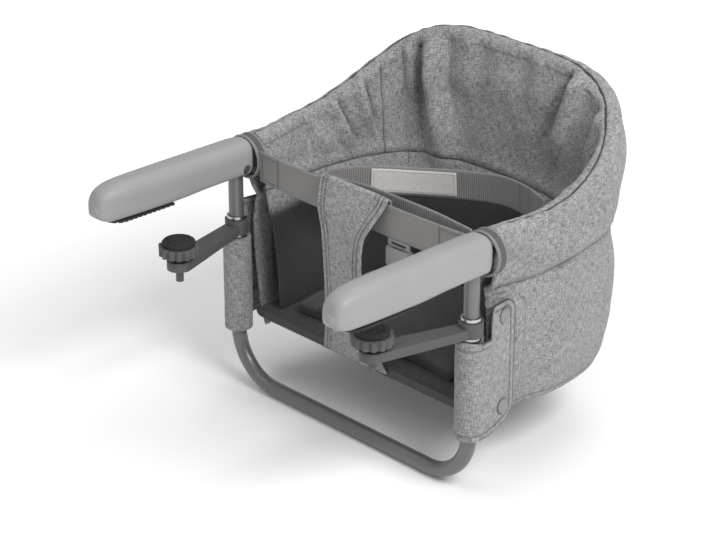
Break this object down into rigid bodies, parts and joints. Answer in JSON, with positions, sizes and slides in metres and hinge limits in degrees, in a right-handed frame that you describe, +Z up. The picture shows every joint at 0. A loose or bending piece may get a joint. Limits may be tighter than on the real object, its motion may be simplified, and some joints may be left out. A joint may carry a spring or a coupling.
{
  "type": "hook on table chair",
  "caption": "Clip-on table seat for a small child: a padded fabric seat on a bent tube hoop, with two arms that lie on the table, a folding lower frame and screw grips below the top.",
  "frame": {"origin": "on the plane of the table top, midway between the two uprights and on their axis plane", "axes": "+X towards the child's left side, -Y forward over the table, +Z up"},
  "size_m": [0.3923, 0.4554, 0.3692],
  "materials": {
    "arm_plastic": "satin moulded plastic, light grey",
    "painted_tube": "grey powder coat, satin",
    "pin_steel": "bare steel, turned",
    "grip_rubber": "dark ribbed rubber",
    "grey_nylon": "dark grey nylon",
    "outer_fabric": "grey melange weave",
    "lining_fabric": "padded grey melange weave",
    "seat_fabric": "plain dark grey weave",
    "strap_webbing": "smooth grey webbing",
    "belt_webbing": "ribbed grey webbing",
    "snap_plastic": "grey press buttons",
    "buckle_plastic": "light grey plastic"
  },
  "bodies": {
    "seat_frame": {"back_hoop": "painted_tube", "buckle_plug": "buckle_plastic", "buckle_socket": "buckle_plastic", "crotch_piece": "outer_fabric", "front_strap": "strap_webbing", "left_arm_cover": "arm_plastic", "left_arm_pad": "grip_rubber", "left_hinge_pin": "pin_steel", "left_lower_snap": "snap_plastic", "left_sleeve": "outer_fabric", "left_strap_loop": "strap_webbing", "left_upper_snap": "snap_plastic", "right_arm_cover": "arm_plastic", "right_arm_pad": "grip_rubber", "right_hinge_pin": "pin_steel", "right_lower_snap": "snap_plastic", "right_sleeve": "outer_fabric", "right_strap_loop": "strap_webbing", "right_upper_snap": "snap_plastic", "seat_base": "seat_fabric", "seat_lining": "lining_fabric", "seat_pad": "seat_fabric", "seat_shell": "outer_fabric", "waist_belt": "belt_webbing"},
    "lower_frame": {"lower_tube": "painted_tube", "left_hinge_eye": "grey_nylon", "left_upper_collar_ring": "pin_steel", "left_lower_collar_ring": "pin_steel", "right_hinge_eye": "grey_nylon", "right_upper_collar_ring": "pin_steel", "right_lower_collar_ring": "pin_steel"},
    "left_jaw_body": {"left_jaw": "grey_nylon"},
    "left_pad_body": {"left_grip_pad": "grip_rubber"},
    "left_knob_body": {"left_grip_knob": "grey_nylon"},
    "right_jaw_body": {"right_jaw": "grey_nylon"},
    "right_pad_body": {"right_grip_pad": "grip_rubber"},
    "right_knob_body": {"right_grip_knob": "grey_nylon"}
  },
  "joints": [
    {"name": "frame_fold", "type": "hinge", "parent": "seat_frame", "child": "lower_frame", "pos_m": [0, 0, 0.0125], "axis": [1, 0, 0], "range_deg": [0, 85], "deforming": ["seat_shell", "seat_lining", "seat_base", "seat_pad", "crotch_piece", "left_sleeve", "right_sleeve", "left_strap_loop", "right_strap_loop", "waist_belt", "left_upper_snap", "left_lower_snap", "right_upper_snap", "right_lower_snap"]},
    {"name": "left_jaw_swivel", "type": "hinge", "parent": "lower_frame", "child": "left_jaw_body", "pos_m": [0.172, 0, -0.055], "axis": [0, 0, -1], "range_deg": [0, 60]},
    {"name": "left_pad_lift", "type": "slide", "parent": "left_jaw_body", "child": "left_pad_body", "axis": [0, 0, 1], "range_m": [-0.0055, 0.014]},
    {"name": "left_knob_turn", "type": "hinge", "parent": "left_pad_body", "child": "left_knob_body", "pos_m": [0.142, -0.104, -0.042], "axis": [0, 0, 1], "range_deg": [-661, 1681]},
    {"name": "right_jaw_swivel", "type": "hinge", "parent": "lower_frame", "child": "right_jaw_body", "pos_m": [-0.172, 0, -0.055], "axis": [0, 0, 1], "range_deg": [0, 60]},
    {"name": "right_pad_lift", "type": "slide", "parent": "right_jaw_body", "child": "right_pad_body", "axis": [0, 0, 1], "range_m": [-0.0055, 0.014]},
    {"name": "right_knob_turn", "type": "hinge", "parent": "right_pad_body", "child": "right_knob_body", "pos_m": [-0.142, -0.104, -0.042], "axis": [0, 0, 1], "range_deg": [-661, 1681]}
  ],
  "couplings": [
    {"joint": "left_knob_turn", "follows": "left_pad_lift", "rad_per_m": 2094.4},
    {"joint": "right_knob_turn", "follows": "right_pad_lift", "rad_per_m": 2094.4}
  ]
}
